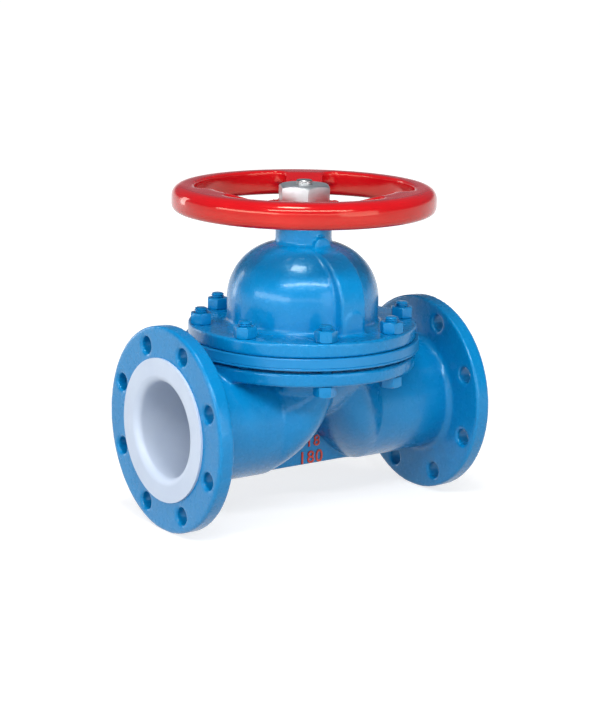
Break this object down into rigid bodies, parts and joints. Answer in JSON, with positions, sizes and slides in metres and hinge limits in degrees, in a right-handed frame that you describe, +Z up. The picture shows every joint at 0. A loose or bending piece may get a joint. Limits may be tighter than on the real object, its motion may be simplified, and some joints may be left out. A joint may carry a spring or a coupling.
{
  "type": "diaphragm valve",
  "caption": "Flanged weir diaphragm valve with lined body, domed bonnet and handwheel that lifts the stem to open the passage",
  "frame": {"origin": "under the stem axis, on the line where the two end flanges' rims are lowest", "axes": "+X along the pipe, +Z up along the stem towards the handwheel, +Y across the pipe"},
  "size_m": [0.35, 0.278, 0.3545],
  "materials": {
    "blue_paint": "gloss enamel on cast iron",
    "blue_fastener": "gloss enamel on steel",
    "red_paint": "gloss enamel on cast iron",
    "white_lining": "satin fluoropolymer",
    "rubber_edge": "painted over at the edge",
    "black_rubber": "matt",
    "steel": "machined",
    "stem_steel": "turned",
    "zinc_steel": "zinc plated",
    "cast_iron": "as cast, primed",
    "bronze": "turned"
  },
  "bodies": {
    "body": {"body_casting": "blue_paint", "body_lining": "white_lining", "diaphragm_face": "white_lining", "diaphragm_cushion": "rubber_edge", "bonnet": "blue_paint", "bonnet_bolts": "blue_fastener", "bonnet_studs": "blue_fastener", "bonnet_nuts": "blue_fastener", "bearing_cap": "steel", "cap_lock_screw": "steel", "cap_seal": "black_rubber", "stem_seal": "black_rubber", "lower_thrust_washer": "bronze", "upper_thrust_washer": "bronze"},
    "drive": {"stem_nut": "bronze", "handwheel": "red_paint", "handwheel_key": "steel", "handwheel_washer": "zinc_steel", "handwheel_nut": "zinc_steel"},
    "stem": {"stem": "stem_steel", "compressor": "cast_iron", "compressor_pin": "steel", "diaphragm_stud": "steel"}
  },
  "joints": [
    {"name": "handwheel_turn", "type": "hinge", "parent": "body", "child": "drive", "pos_m": [0, 0, 0.33], "axis": [0, 0, 1], "range_deg": [0, 2736]},
    {"name": "stem_lift", "type": "slide", "parent": "body", "child": "stem", "axis": [0, 0, 1], "range_m": [0, 0.038], "deforming": ["diaphragm_face", "diaphragm_cushion"]}
  ],
  "couplings": [
    {"joint": "stem_lift", "follows": "handwheel_turn", "m_per_rad": 0.00079577}
  ]
}
